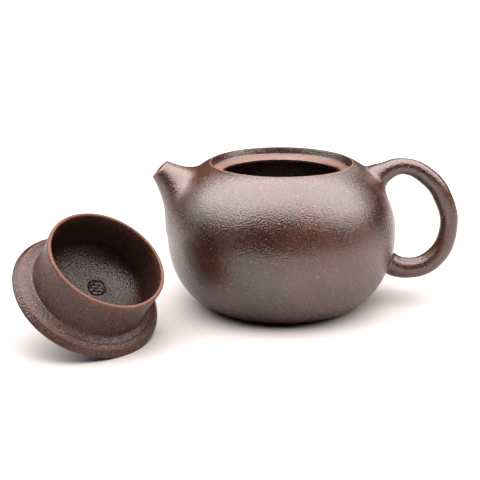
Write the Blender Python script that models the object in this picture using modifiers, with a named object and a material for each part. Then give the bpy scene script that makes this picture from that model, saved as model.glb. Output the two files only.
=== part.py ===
"""Unglazed clay teapot, with its lid lying upside down beside it.

Frame: metres, +Z up. The origin is the centre of the pot's flat underside, on the pot's own
turning axis. +X runs towards the handle, so the spout points to -X. Sizes are in millimetres
below and are turned into metres where a mesh is made.
"""

import math

import bmesh
import bpy
from mathutils import Vector

MM = 0.001
GAP = 0.3

# Belly: one round wall of the pot, from its foot to its rim.
RIM_HEIGHT = 55.2
RIM_RADIUS = 27.2
BELLY_RADIUS = 44.0
BELLY_WIDEST_HEIGHT = 28.9
FOOT_RADIUS = 28.1
WALL = 3.0
LOWER_FULLNESS = (2.36, 1.38)
UPPER_FULLNESS = (1.51, 1.81)
BASE_RADIUS = 26.5
BASE_THICKNESS = 3.2

# Mouth ring: thin rim, flared recess for the lid, sloping seat and neck.
RING_RADIUS = 31.5
RING_UNDERSIDE = 50.0
RIM_LAND = 0.25
RECESS_RADIUS = 25.75
RECESS_DEPTH = 2.1
NECK_RADIUS = 22.4
SEAT_DEPTH = 3.55

# Spout: a short trumpet whose axis rises from the shoulder.
SPOUT_TIP = (-46.15, 0.0, 52.7)
SPOUT_RISE = math.radians(42.5)
SPOUT_TIP_RADIUS = 4.2
SPOUT_TAPER = 0.30
SPOUT_FLARE = 0.019
SPOUT_LENGTH = 14.5
CHANNEL_TIP_RADIUS = 3.0
CHANNEL_TAPER = 0.27

# Strainer: a domed disc with drilled holes, set in the belly wall behind the spout.
STRAINER_RADIUS = 6.6
STRAINER_THICKNESS = 1.3
STRAINER_DOME = 3.4
STRAINER_FRONT = 12.9
STRAINER_SHOULDER = 14.2
DRAIN_RADIUS = 0.75
DRAIN_PITCH = 2.1
DRAIN_RINGS = 2

# Handle: an ear-shaped loop of round section, thicker at its lower root.
HANDLE_PATH = ((37.0, 50.3), (46.0, 53.3), (58.2, 47.8), (64.8, 29.0), (54.8, 13.7), (39.0, 16.2))
HANDLE_RADII = (3.7, 3.3, 3.3, 3.65, 4.1, 4.55)

# Lid: flange and dome, deep skirt, and knob. Heights run from the widest circle of the flange
# towards the open end of the skirt.
FLANGE_RADIUS = 27.15
RIDGE_RADIUS = 25.35
RIDGE_HEIGHT = 2.2
SKIRT_FOOT_HEIGHT = 3.4
SKIRT_RADIUS = 21.3
SKIRT_HEIGHT = 19.85
SKIRT_WAIST_RADIUS = 20.8
SKIRT_INNER_RADIUS = 19.3
DOME_HEIGHT = 5.2
LID_FLOOR = -2.0
VENT_RADIUS = 1.2
KNOB_RADIUS = 6.8
KNOB_NECK_RADIUS = 4.3

# The lid lies on its flange's edge and on its knob, leaning towards the front right.
LID_TILT = math.radians(37.0)
LID_HEADING = math.radians(-41.2)
LID_PLACE = (-69.9, -41.45)

TURN_STEPS = 48
SMALL_STEPS = 32
DRAIN_STEPS = 8


def clear_scene():
    """Remove every object that the file opened with."""
    for item in list(bpy.data.objects):
        bpy.data.objects.remove(item, do_unlink=True)


def new_collection(name):
    """Add a collection to the scene."""
    made = bpy.data.collections.new(name)
    bpy.context.scene.collection.children.link(made)
    return made


def clay(name, colour, roughness):
    """Fired clay of one colour."""
    material = bpy.data.materials.new(name)
    material.use_nodes = True
    shader = material.node_tree.nodes["Principled BSDF"]
    shader.inputs["Base Color"].default_value = (*colour, 1.0)
    shader.inputs["Roughness"].default_value = roughness
    shader.inputs["Metallic"].default_value = 0.0
    return material


def place(item, collection, parent=None):
    """Put an object in its collection, and under its parent's axes."""
    collection.objects.link(item)
    item.parent = parent
    return item


def axis_empty(name, location, rotation, collection):
    """An empty whose +Z is the turning axis of the pieces under it."""
    empty = bpy.data.objects.new(name, None)
    empty.location = Vector(location) * MM
    empty.rotation_euler = rotation
    return place(empty, collection)


def turned(name, outline, collection, parent=None, steps=TURN_STEPS):
    """Turn a closed outline of (radius, height) points about +Z."""
    mesh = bpy.data.meshes.new(name)
    points = [(radius * MM, 0.0, height * MM) for radius, height in outline]
    count = len(points)
    mesh.from_pydata(points, [(i, (i + 1) % count) for i in range(count)], [])
    item = place(bpy.data.objects.new(name, mesh), collection, parent)
    screw = item.modifiers.new("turn", "SCREW")
    screw.axis = "Z"
    screw.angle = math.tau
    screw.steps = steps
    screw.render_steps = steps
    screw.use_merge_vertices = True
    screw.merge_threshold = 0.00001
    screw.use_smooth_shade = True
    return item


def solid_turned(name, outline, collection, parent=None, steps=TURN_STEPS):
    """Turn an outline that starts and ends on the axis into a solid with closed poles."""
    mesh = bpy.data.meshes.new(name)
    points = [(radius * MM, 0.0, height * MM) for radius, height in outline]
    mesh.from_pydata(points, [(i, i + 1) for i in range(len(points) - 1)], [])
    item = place(bpy.data.objects.new(name, mesh), collection, parent)
    screw = item.modifiers.new("turn", "SCREW")
    screw.axis = "Z"
    screw.angle = math.tau
    screw.steps = steps
    screw.render_steps = steps
    screw.use_merge_vertices = True
    screw.merge_threshold = 0.00001
    screw.use_smooth_shade = True
    return item


def as_cutter(item):
    """Show a cutter as wire only, and keep it out of renders."""
    item.display_type = "WIRE"
    item.hide_render = True
    return item


def cut(item, cutter, name):
    """Take the cutter's shape out of an object."""
    boolean = item.modifiers.new(name, "BOOLEAN")
    boolean.operation = "DIFFERENCE"
    boolean.solver = "EXACT"
    boolean.object = cutter
    return boolean


def pot_point(u):
    """Outer outline of the pot: u runs from 0 at the foot's edge, past 1 at the widest
    height, to 2 at the rim."""
    if u <= 1.0:
        turn = u * math.pi / 2
        height_power, radius_power = LOWER_FULLNESS
        rise = 1.0 - math.cos(turn) ** (2 / height_power)
        swell = math.sin(turn) ** (2 / radius_power)
        return (FOOT_RADIUS + (BELLY_RADIUS - FOOT_RADIUS) * swell, BELLY_WIDEST_HEIGHT * rise)
    turn = (u - 1.0) * math.pi / 2
    height_power, radius_power = UPPER_FULLNESS
    rise = math.sin(turn) ** (2 / height_power)
    swell = max(0.0, math.cos(turn)) ** (2 / radius_power)
    height = BELLY_WIDEST_HEIGHT + (RIM_HEIGHT - BELLY_WIDEST_HEIGHT) * rise
    return (RIM_RADIUS + (BELLY_RADIUS - RIM_RADIUS) * swell, height)


def pot_offset(u, distance):
    """A point on the pot's outline moved along the outward normal."""
    nudge = 0.002
    below = pot_point(max(0.0, u - nudge))
    above = pot_point(min(2.0, u + nudge))
    run, climb = above[0] - below[0], above[1] - below[1]
    length = math.hypot(run, climb)
    radius, height = pot_point(u)
    return (radius + distance * climb / length, height - distance * run / length)


def u_at_radius(radius):
    """Where the upper outline has this radius, found by halving."""
    low, high = 1.0, 2.0
    for _ in range(40):
        middle = (low + high) / 2
        if pot_point(middle)[0] > radius:
            low = middle
        else:
            high = middle
    return low


def spaced(start, end, count):
    """Evenly spaced values, both ends included."""
    return [start + (end - start) * i / (count - 1) for i in range(count)]


def make_belly(collection, drain_bore):
    """The round wall, with the bore that leads to the spout."""
    top = u_at_radius(RING_RADIUS + GAP)
    outer = [pot_point(u) for u in spaced(top, 0.0, 17)]
    inner = [pot_offset(u, -WALL) for u in spaced(0.42, top, 12)]
    step = BASE_RADIUS + GAP
    foot = [(step, 0.0), (step, BASE_THICKNESS + GAP)]
    belly = turned("belly", outer + foot + inner, collection)
    cut(belly, drain_bore, "spout_bore")
    belly.data.materials.append(clay("belly_clay", (0.19, 0.115, 0.095), 0.5))
    return belly


def make_base_disc(collection):
    """The flat disc that closes the belly from below."""
    half = BASE_THICKNESS * MM / 2
    bpy.ops.mesh.primitive_cylinder_add(
        vertices=TURN_STEPS, radius=BASE_RADIUS * MM, depth=2 * half, location=(0, 0, half)
    )
    disc = bpy.context.object
    disc.name = "base_disc"
    for owner in list(disc.users_collection):
        owner.objects.unlink(disc)
    collection.objects.link(disc)
    disc.data.materials.append(clay("base_clay", (0.17, 0.105, 0.09), 0.6))
    return disc


def make_mouth_ring(collection):
    """The shoulder's inner ring, with the rim, recess, seat and neck."""
    edge = u_at_radius(RING_RADIUS)
    shoulder = [pot_point(u) for u in spaced(1.985, edge, 7)]
    joint = pot_offset(edge, -WALL)
    rim_inner = RIM_RADIUS - RIM_LAND
    outline = [(RIM_RADIUS - 0.05, RIM_HEIGHT)] + shoulder
    outline += [joint, (joint[0] - 1.0, RING_UNDERSIDE), (NECK_RADIUS + 0.4, RING_UNDERSIDE)]
    outline += [(NECK_RADIUS, RING_UNDERSIDE + 0.4), (NECK_RADIUS, RIM_HEIGHT - SEAT_DEPTH)]
    outline += [(RECESS_RADIUS, RIM_HEIGHT - RECESS_DEPTH), (rim_inner, RIM_HEIGHT - 0.1)]
    ring = turned("mouth_ring", outline, collection)
    ring.data.materials.append(clay("mouth_clay", (0.20, 0.125, 0.105), 0.5))
    return ring


def make_pot_envelope(cutters):
    """The pot's outer shape grown by the joint gap, which trims the spout and the handle."""
    skin = [pot_offset(u, GAP) for u in spaced(1.98, 0.0, 25)]
    outline = [(0.0, RIM_HEIGHT + GAP)] + skin + [(0.0, -GAP)]
    return as_cutter(solid_turned("pot_envelope", outline, cutters))


def spout_radius(depth):
    """Outer radius of the spout at a depth behind its tip."""
    return SPOUT_TIP_RADIUS + SPOUT_TAPER * depth + SPOUT_FLARE * depth**2


def make_spout(collection, axis, envelope):
    """A trumpet-shaped tube, trimmed to the shoulder at its wide end."""
    lip = 0.3
    depths = spaced(lip, SPOUT_LENGTH, 9)
    outer = [(SPOUT_TIP_RADIUS - lip, 0.0)] + [(spout_radius(d), -d) for d in depths]
    root = CHANNEL_TIP_RADIUS + CHANNEL_TAPER * SPOUT_LENGTH
    inner = [(root, -SPOUT_LENGTH), (CHANNEL_TIP_RADIUS, -lip), (CHANNEL_TIP_RADIUS + lip, 0.0)]
    spout = turned("spout", outer + inner, collection, axis, SMALL_STEPS)
    cut(spout, envelope, "shoulder")
    spout.data.materials.append(clay("spout_clay", (0.19, 0.115, 0.095), 0.48))
    return spout


def make_drain_bore(cutters, axis):
    """The round bore through the belly wall, along the spout's axis."""
    radius = STRAINER_RADIUS + GAP
    outline = [(0.0, -7.0), (radius, -7.0), (radius, -20.0), (0.0, -20.0)]
    return as_cutter(solid_turned("spout_bore", outline, cutters, axis, SMALL_STEPS))


def make_drain_holes(cutters, axis):
    """Drill bits of the strainer: one in the middle and rings of them around it."""
    form = bmesh.new()
    for ring in range(DRAIN_RINGS + 1):
        holes = max(1, 6 * ring)
        for hole in range(holes):
            angle = math.tau * hole / holes
            reach = ring * DRAIN_PITCH * MM
            made = bmesh.ops.create_cone(
                form, cap_ends=True, segments=DRAIN_STEPS,
                radius1=DRAIN_RADIUS * MM, radius2=DRAIN_RADIUS * MM, depth=12 * MM,
            )
            shift = Vector((reach * math.cos(angle), reach * math.sin(angle), -14 * MM))
            bmesh.ops.translate(form, vec=shift, verts=made["verts"])
    mesh = bpy.data.meshes.new("drain_holes")
    form.to_mesh(mesh)
    form.free()
    return as_cutter(place(bpy.data.objects.new("drain_holes", mesh), cutters, axis))


def make_strainer(collection, axis, holes):
    """A clay disc that domes into the pot, drilled through."""
    def dome(radius, height, angles):
        shoulder = -STRAINER_SHOULDER
        return [(radius * math.cos(a), shoulder - height * math.sin(a)) for a in angles]

    quarter = spaced(0.0, math.pi / 2, 6)
    outer = dome(STRAINER_RADIUS, STRAINER_DOME, quarter[:-1])
    inner = dome(STRAINER_RADIUS - STRAINER_THICKNESS, STRAINER_DOME - STRAINER_THICKNESS,
                 list(reversed(quarter))[1:])
    crown = [(0.0, -STRAINER_SHOULDER - STRAINER_DOME)]
    hollow = [(0.0, -STRAINER_SHOULDER - STRAINER_DOME + STRAINER_THICKNESS)]
    collar = [(STRAINER_RADIUS - STRAINER_THICKNESS, -STRAINER_FRONT)]
    outline = hollow + inner + collar
    outline += [(STRAINER_RADIUS, -STRAINER_FRONT)] + outer + crown
    strainer = solid_turned("strainer", outline, collection, axis, SMALL_STEPS)
    cut(strainer, holes, "drain_holes")
    strainer.data.materials.append(clay("strainer_clay", (0.13, 0.08, 0.07), 0.65))
    return strainer


def make_handle(collection, envelope):
    """The ear: a tapering round tube along a smooth path, trimmed to the belly at its roots."""
    middle = sum(HANDLE_RADII) / len(HANDLE_RADII)
    path = bpy.data.curves.new("handle_path", "CURVE")
    path.dimensions = "3D"
    path.bevel_depth = middle * MM
    path.bevel_resolution = 3
    path.resolution_u = 7
    path.use_fill_caps = True
    line = path.splines.new("BEZIER")
    line.bezier_points.add(len(HANDLE_PATH) - 1)
    for knot, (x, z), radius in zip(line.bezier_points, HANDLE_PATH, HANDLE_RADII):
        knot.co = (x * MM, 0.0, z * MM)
        knot.radius = radius / middle
        knot.handle_left_type = "AUTO"
        knot.handle_right_type = "AUTO"
    guide = place(bpy.data.objects.new("handle_path", path), collection)
    evaluated = guide.evaluated_get(bpy.context.evaluated_depsgraph_get())
    mesh = bpy.data.meshes.new_from_object(evaluated)
    form = bmesh.new()
    form.from_mesh(mesh)
    bmesh.ops.remove_doubles(form, verts=form.verts, dist=0.00001)
    form.to_mesh(mesh)
    form.free()
    handle = place(bpy.data.objects.new("handle", mesh), collection)
    handle.matrix_world = guide.matrix_world
    bpy.data.objects.remove(guide, do_unlink=True)
    cut(handle, envelope, "belly")
    mesh.shade_smooth()
    mesh.materials.clear()
    mesh.materials.append(clay("handle_clay", (0.20, 0.12, 0.10), 0.45))
    return handle


def make_lid_disc(collection, axis):
    """Flange with its ridge, shallow dome outside and bowl inside, with the vent hole."""
    dome = [
        (FLANGE_RADIUS * math.cos(a) ** 0.8, -DOME_HEIGHT * math.sin(a) ** 1.35)
        for a in spaced(0.0, math.radians(84), 9)
    ]
    seat_inner = SKIRT_INNER_RADIUS - 0.4
    rise = SKIRT_FOOT_HEIGHT - LID_FLOOR
    bowl = [
        (seat_inner * math.sin(a), LID_FLOOR + rise * (1 - math.cos(a) ** 0.9))
        for a in spaced(math.radians(12), math.radians(90), 7)
    ]
    outline = [(SKIRT_RADIUS, SKIRT_FOOT_HEIGHT), (RIDGE_RADIUS, RIDGE_HEIGHT)] + dome
    outline += [(VENT_RADIUS, -DOME_HEIGHT), (VENT_RADIUS, LID_FLOOR)] + bowl
    disc = turned("lid_disc", outline, collection, axis)
    disc.data.materials.append(clay("lid_disc_clay", (0.19, 0.125, 0.11), 0.55))
    return disc


def make_lid_skirt(collection, axis):
    """The deep collar of the lid: slightly waisted, with a rounded rim."""
    foot = SKIRT_FOOT_HEIGHT + GAP
    bead = 0.65
    rim = [
        (SKIRT_RADIUS - bead + bead * math.sin(a), SKIRT_HEIGHT - bead + bead * math.cos(a))
        for a in spaced(math.radians(-80), math.radians(100), 6)
    ]
    waist = [(SKIRT_RADIUS - 0.1, SKIRT_HEIGHT - 2.2), (SKIRT_WAIST_RADIUS, 11.0)]
    waist += [(SKIRT_WAIST_RADIUS, 6.5), (SKIRT_RADIUS, foot)]
    inside = [(SKIRT_INNER_RADIUS - 0.2, foot), (SKIRT_INNER_RADIUS, 12.0)]
    skirt = turned("lid_skirt", rim + waist + inside, collection, axis)
    skirt.data.materials.append(clay("lid_skirt_clay", (0.20, 0.135, 0.12), 0.5))
    return skirt


def make_lid_knob(collection, axis):
    """A round knob on a short neck, with the vent hole right through it."""
    reach = FLANGE_RADIUS * math.tan(LID_TILT) - KNOB_RADIUS / math.cos(LID_TILT)
    neck_top = -DOME_HEIGHT - GAP
    first = math.pi - math.asin(KNOB_NECK_RADIUS / KNOB_RADIUS)
    last = math.asin(VENT_RADIUS / KNOB_RADIUS)
    angles = spaced(first, LID_TILT, 7) + spaced(LID_TILT, last, 4)[1:]
    ball = [(KNOB_RADIUS * math.sin(a), -reach - KNOB_RADIUS * math.cos(a)) for a in angles]
    outline = [(VENT_RADIUS, neck_top), (KNOB_NECK_RADIUS + 0.4, neck_top)] + ball
    knob = turned("lid_knob", outline, collection, axis, SMALL_STEPS)
    knob.data.materials.append(clay("lid_knob_clay", (0.20, 0.125, 0.105), 0.45))
    return knob


def main():
    """Build the pot, then the lid beside it."""
    clear_scene()
    pieces = new_collection("teapot")
    cutters = new_collection("cutters")

    spout_turn = (0.0, SPOUT_RISE - math.pi / 2, 0.0)
    spout_axis = axis_empty("spout_axis", SPOUT_TIP, spout_turn, pieces)
    envelope = make_pot_envelope(cutters)
    drain_bore = make_drain_bore(cutters, spout_axis)
    make_belly(pieces, drain_bore)
    make_base_disc(pieces)
    make_mouth_ring(pieces)
    make_spout(pieces, spout_axis, envelope)
    make_strainer(pieces, spout_axis, make_drain_holes(cutters, spout_axis))
    make_handle(pieces, envelope)

    lid_height = FLANGE_RADIUS * math.sin(LID_TILT)
    lid_axis = axis_empty("lid_axis", (*LID_PLACE, lid_height), (0.0, LID_TILT, LID_HEADING), pieces)
    make_lid_disc(pieces, lid_axis)
    make_lid_skirt(pieces, lid_axis)
    make_lid_knob(pieces, lid_axis)


main()
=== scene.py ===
"""Unglazed clay teapot with its lid lying upside down beside it.

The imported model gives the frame. The visible pieces here stand for its plain solids: one vessel
skin whose spout and handle grow out of the belly, a drilled strainer behind the spout, and the
turned lid with its knob. Lengths are in millimetres and become metres where a mesh is made.
"""

import logging
import math
from dataclasses import dataclass, field
from enum import Enum
from typing import Sequence

import bmesh
import bpy
import numpy as np
from mathutils import Matrix, Vector

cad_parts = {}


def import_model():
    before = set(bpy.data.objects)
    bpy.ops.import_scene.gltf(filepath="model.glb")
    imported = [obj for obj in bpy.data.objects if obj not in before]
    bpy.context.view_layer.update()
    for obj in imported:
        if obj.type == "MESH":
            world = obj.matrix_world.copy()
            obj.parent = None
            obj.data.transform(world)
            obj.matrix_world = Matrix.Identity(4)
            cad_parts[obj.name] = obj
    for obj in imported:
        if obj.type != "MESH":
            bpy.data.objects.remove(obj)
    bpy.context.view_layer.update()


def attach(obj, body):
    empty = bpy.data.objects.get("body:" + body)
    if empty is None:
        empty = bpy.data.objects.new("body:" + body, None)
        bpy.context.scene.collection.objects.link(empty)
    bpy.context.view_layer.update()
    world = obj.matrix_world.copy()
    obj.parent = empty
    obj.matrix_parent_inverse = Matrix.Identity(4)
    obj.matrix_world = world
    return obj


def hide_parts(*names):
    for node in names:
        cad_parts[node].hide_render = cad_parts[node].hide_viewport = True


MM = 0.001
LOG = logging.getLogger("teapot")
Point2 = tuple[float, float]
Colour = tuple[float, float, float]


class Body(str, Enum):
    """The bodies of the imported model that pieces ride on."""

    POT = "pot"
    LID = "lid"


class Seal(Enum):
    """Patterns that a round stamp can press into clay."""

    LATTICE = "lattice"
    RINGS = "rings"


# ---------------------------------------------------------------------------------------------
# Node building
# ---------------------------------------------------------------------------------------------


@dataclass(frozen=True)
class Value:
    """One number in a node tree; arithmetic on it adds Math nodes."""

    tree: bpy.types.NodeTree
    socket: bpy.types.NodeSocket | float

    def apply(self, operation: str, *others: "Value | float") -> "Value":
        """Add a Math node.

        Args:
            operation: The Math node's operation.
            others: Its further inputs.

        Returns:
            The node's result.
        """
        node = self.tree.nodes.new("ShaderNodeMath")
        node.operation = operation
        for place, item in enumerate((self, *others)):
            feed(self.tree, node.inputs[place], item)
        return Value(self.tree, node.outputs[0])

    def __add__(self, other: "Value | float") -> "Value":
        """Sum."""
        return self.apply("ADD", other)

    def __sub__(self, other: "Value | float") -> "Value":
        """Difference."""
        return self.apply("SUBTRACT", other)

    def __mul__(self, other: "Value | float") -> "Value":
        """Product."""
        return self.apply("MULTIPLY", other)

    def __truediv__(self, other: "Value | float") -> "Value":
        """Quotient."""
        return self.apply("DIVIDE", other)

    def __pow__(self, other: "Value | float") -> "Value":
        """Power."""
        return self.apply("POWER", other)

    def spread(self, low: float, high: float, first: float = 0.0, last: float = 1.0) -> "Value":
        """Ease from one value to another while this one crosses a range.

        Args:
            low: Where the crossing starts.
            high: Where it ends.
            first: The result up to the start.
            last: The result past the end.

        Returns:
            The eased value.
        """
        node = self.tree.nodes.new("ShaderNodeMapRange")
        node.interpolation_type = "SMOOTHSTEP"
        feed(self.tree, node.inputs["Value"], self)
        settings = {"From Min": low, "From Max": high, "To Min": first, "To Max": last}
        for name, number in settings.items():
            node.inputs[name].default_value = number
        return Value(self.tree, node.outputs["Result"])


def feed(tree: bpy.types.NodeTree, target: bpy.types.NodeSocket, item: object) -> None:
    """Link or set one input socket.

    Args:
        tree: The tree that holds the socket.
        target: The input socket.
        item: A Value, a socket, or a plain value.
    """
    source = item.socket if isinstance(item, Value) else item
    if isinstance(source, bpy.types.NodeSocket):
        tree.links.new(source, target)
    else:
        target.default_value = source


def add_node(tree: bpy.types.NodeTree, kind: str, inputs: dict | None = None,
             **settings: object) -> bpy.types.Node:
    """Add a node with its settings and inputs.

    Args:
        tree: The tree to add it to.
        kind: The node's type name.
        inputs: Input name to what feeds it.
        settings: Node properties.

    Returns:
        The node.
    """
    node = tree.nodes.new(kind)
    for name, setting in settings.items():
        setattr(node, name, setting)
    for name, item in (inputs or {}).items():
        feed(tree, node.inputs[name], item)
    return node


def set_inputs(modifier: bpy.types.NodesModifier, values: dict[str, object]) -> None:
    """Set the named inputs of a modifier's geometry tree.

    Args:
        modifier: The modifier, with its tree in place.
        values: Input name to its value.
    """
    for item in modifier.node_group.interface.items_tree:
        if item.in_out == "INPUT" and item.name in values:
            modifier[item.identifier] = values[item.name]


def combine(tree: bpy.types.NodeTree, x: object, y: object, z: object) -> bpy.types.NodeSocket:
    """Join three numbers into a vector.

    Args:
        tree: The tree.
        x: First number.
        y: Second number.
        z: Third number.

    Returns:
        The vector socket.
    """
    return add_node(tree, "ShaderNodeCombineXYZ", {"X": x, "Y": y, "Z": z}).outputs[0]


def split(tree: bpy.types.NodeTree, vector: bpy.types.NodeSocket) -> tuple[Value, Value, Value]:
    """Take a vector apart.

    Args:
        tree: The tree.
        vector: The vector socket.

    Returns:
        Its three numbers.
    """
    node = add_node(tree, "ShaderNodeSeparateXYZ", {"Vector": vector})
    return tuple(Value(tree, socket) for socket in node.outputs)


# ---------------------------------------------------------------------------------------------
# Shared shader groups
# ---------------------------------------------------------------------------------------------


def new_group(name: str, inputs: dict[str, tuple[str, object]],
              outputs: dict[str, str]) -> tuple[bpy.types.NodeTree, dict, bpy.types.Node]:
    """Start a shader node group.

    Args:
        name: The group's name.
        inputs: Input name to its socket type and default.
        outputs: Output name to its socket type.

    Returns:
        The tree, its input sockets by name, and its output node.
    """
    tree = bpy.data.node_groups.new(name, "ShaderNodeTree")
    for label, (kind, default) in inputs.items():
        socket = tree.interface.new_socket(name=label, in_out="INPUT", socket_type=kind)
        if default is not None:
            socket.default_value = default
    for label, kind in outputs.items():
        tree.interface.new_socket(name=label, in_out="OUTPUT", socket_type=kind)
    entry = tree.nodes.new("NodeGroupInput")
    leave = tree.nodes.new("NodeGroupOutput")
    return tree, {socket.name: socket for socket in entry.outputs}, leave


def noise(tree: bpy.types.NodeTree, vector: object, scale: object, detail: float = 2.0,
          roughness: float = 0.5, distortion: float = 0.0) -> Value:
    """Fractal noise of a position.

    Args:
        tree: The tree.
        vector: Where to read it.
        scale: Features per metre, as a number or socket.
        detail: Number of finer layers.
        roughness: Strength of the finer layers.
        distortion: Warp of the pattern.

    Returns:
        The noise, from 0 to 1.
    """
    inputs = {"Vector": vector, "Scale": scale, "Detail": detail, "Roughness": roughness,
              "Distortion": distortion}
    node = add_node(tree, "ShaderNodeTexNoise", inputs)
    return Value(tree, node.outputs["Fac"])


def blend_colour(tree: bpy.types.NodeTree, factor: object, first: object,
                 second: object) -> bpy.types.NodeSocket:
    """Mix two colours.

    Args:
        tree: The tree.
        factor: How much of the second.
        first: A colour or socket.
        second: A colour or socket.

    Returns:
        The mixed colour's socket.
    """
    node = add_node(tree, "ShaderNodeMix", data_type="RGBA")
    names = ("Factor_Float", "A_Color", "B_Color")
    sockets = {socket.identifier: socket for socket in node.inputs}
    for name, item in zip(names, (factor, first, second)):
        feed(tree, sockets[name], (*item, 1.0) if isinstance(item, tuple) else item)
    return next(socket for socket in node.outputs if socket.identifier == "Result_Color")


def make_mottle_group() -> bpy.types.NodeTree:
    """Slow drift of the clay's colour, from dark reddish to grey pink.

    Returns:
        The group: position, colours and extra warmth in, colour out.
    """
    vector = ("NodeSocketVector", None)
    grey = ("NodeSocketColor", (0.5, 0.5, 0.5, 1.0))
    tree, give, leave = new_group(
        "clay mottle",
        {"Position": vector, "Dark": grey, "Middle": grey, "Light": grey, "Warm": grey,
         "Warmth": ("NodeSocketFloat", 0.0)},
        {"Colour": "NodeSocketColor"},
    )
    clouds = noise(tree, give["Position"], 38.0, 3.0, 0.55, 0.6)
    patches = noise(tree, give["Position"], 150.0, 4.0, 0.6, 0.3)
    drift = (clouds * 0.62 + patches * 0.38).spread(0.34, 0.66)
    grain = noise(tree, give["Position"], 1500.0, 2.0, 0.6).spread(0.3, 0.72)
    base = blend_colour(tree, drift, give["Dark"], give["Middle"])
    drifting = noise(tree, give["Position"], 27.0, 2.0, 0.6, 0.4) + Value(tree, give["Warmth"]) * 0.14
    flush = drifting.spread(0.46, 0.66)
    base = blend_colour(tree, flush * 0.6, base, give["Warm"])
    tree.links.new(blend_colour(tree, grain * drift * 0.6, base, give["Light"]), leave.inputs[0])
    return tree


def make_speck_group() -> bpy.types.NodeTree:
    """Scattered specks: coarse ochre ones, and fine dark pits between them.

    Returns:
        The group: position and amounts in; ochre mask, pit mask and height out.
    """
    number = "NodeSocketFloat"
    tree, give, leave = new_group(
        "clay specks",
        {"Position": ("NodeSocketVector", None), "Ochre": (number, 0.3), "Pits": (number, 0.3)},
        {"Ochre": number, "Pits": number, "Height": number},
    )

    def dots(scale: float, radius: float, share: Value | float, seed: float) -> Value:
        """Round dots at random cells.

        Args:
            scale: Cells per metre.
            radius: Dot radius in cells.
            share: Share of the cells that have one.
            seed: Shifts the cells.

        Returns:
            The dots' mask.
        """
        moved = add_node(tree, "ShaderNodeVectorMath", {0: give["Position"]}, operation="ADD")
        moved.inputs[1].default_value = (seed, seed * 1.7, -seed)
        cells = add_node(tree, "ShaderNodeTexVoronoi", {"Vector": moved.outputs[0], "Scale": scale})
        chance, size, _ = split(tree, cells.outputs["Color"])
        reach = size * radius * 0.8 + radius * 0.3
        inside = (reach - Value(tree, cells.outputs["Distance"])).spread(0.0, radius * 0.35)
        kept = (Value(tree, share.socket) - chance).spread(0.0, 0.02)
        return inside * kept

    share = Value(tree, give["Ochre"])
    big = dots(1150.0, 0.30, share * 0.35, 0.013)
    fine = dots(2300.0, 0.34, share, 0.071)
    ochre = big.apply("MAXIMUM", fine * 0.85)
    pits = dots(1700.0, 0.30, Value(tree, give["Pits"]), 0.037)
    tree.links.new(ochre.socket, leave.inputs[0])
    tree.links.new(pits.socket, leave.inputs[1])
    tree.links.new((ochre * 0.4 - pits).socket, leave.inputs[2])
    return tree


def make_grain_group() -> bpy.types.NodeTree:
    """Height of the skin of fired clay: orange-peel dimples and finer grit.

    Returns:
        The group: position and amounts in, height out.
    """
    number = "NodeSocketFloat"
    tree, give, leave = new_group(
        "clay grain",
        {"Position": ("NodeSocketVector", None), "Peel": (number, 1.0), "Grit": (number, 0.5)},
        {"Height": number},
    )
    cells = add_node(tree, "ShaderNodeTexVoronoi", {"Vector": give["Position"], "Scale": 1650.0})
    dimples = Value(tree, cells.outputs["Distance"])
    peel = noise(tree, give["Position"], 2000.0, 1.0, 0.5) * 0.75 + dimples * 0.5
    swell = noise(tree, give["Position"], 700.0, 1.0, 0.5)
    grit = noise(tree, give["Position"], 2600.0, 2.0, 0.6)
    rough = peel * Value(tree, give["Peel"]) + swell * 0.12
    tree.links.new((rough + grit * Value(tree, give["Grit"])).socket, leave.inputs[0])
    return tree


def make_ring_group() -> bpy.types.NodeTree:
    """Mask of a pale edge that runs in a circle about the Z axis: rubbed wear, and painted highlight
    on the pot's lid seat and rim.

    Returns:
        The group: position, circle radius, height and width in metres in, mask out.
    """
    number = "NodeSocketFloat"
    tree, give, leave = new_group(
        "worn ring",
        {"Position": ("NodeSocketVector", None), "Radius": (number, 0.02), "Height": (number, 0.0),
         "Width": (number, 0.001)},
        {"Mask": number},
    )
    x, y, z = split(tree, give["Position"])
    reach = (x * x + y * y).apply("SQRT") - Value(tree, give["Radius"])
    climb = z - Value(tree, give["Height"])
    distance = (reach * reach + climb * climb).apply("SQRT") / Value(tree, give["Width"])
    ragged = noise(tree, give["Position"], 700.0, 2.0, 0.6) * 0.9 - 0.45
    tree.links.new((distance + ragged).spread(1.0, 0.35).socket, leave.inputs[0])
    return tree


@dataclass(frozen=True)
class ShaderKit:
    """The shader groups that every clay finish is put together from."""

    mottle: bpy.types.NodeTree
    specks: bpy.types.NodeTree
    grain: bpy.types.NodeTree
    ring: bpy.types.NodeTree

    @classmethod
    def build(cls) -> "ShaderKit":
        """Make the groups once."""
        return cls(make_mottle_group(), make_speck_group(), make_grain_group(), make_ring_group())


@dataclass(frozen=True)
class WornAndLitRing:
    """A circular edge painted pale: rubbed wear, and painted highlight on the pot's upward-facing lid
    seat and rim.
    """

    radius: float
    height: float
    width: float
    strength: float = 1.0


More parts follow.
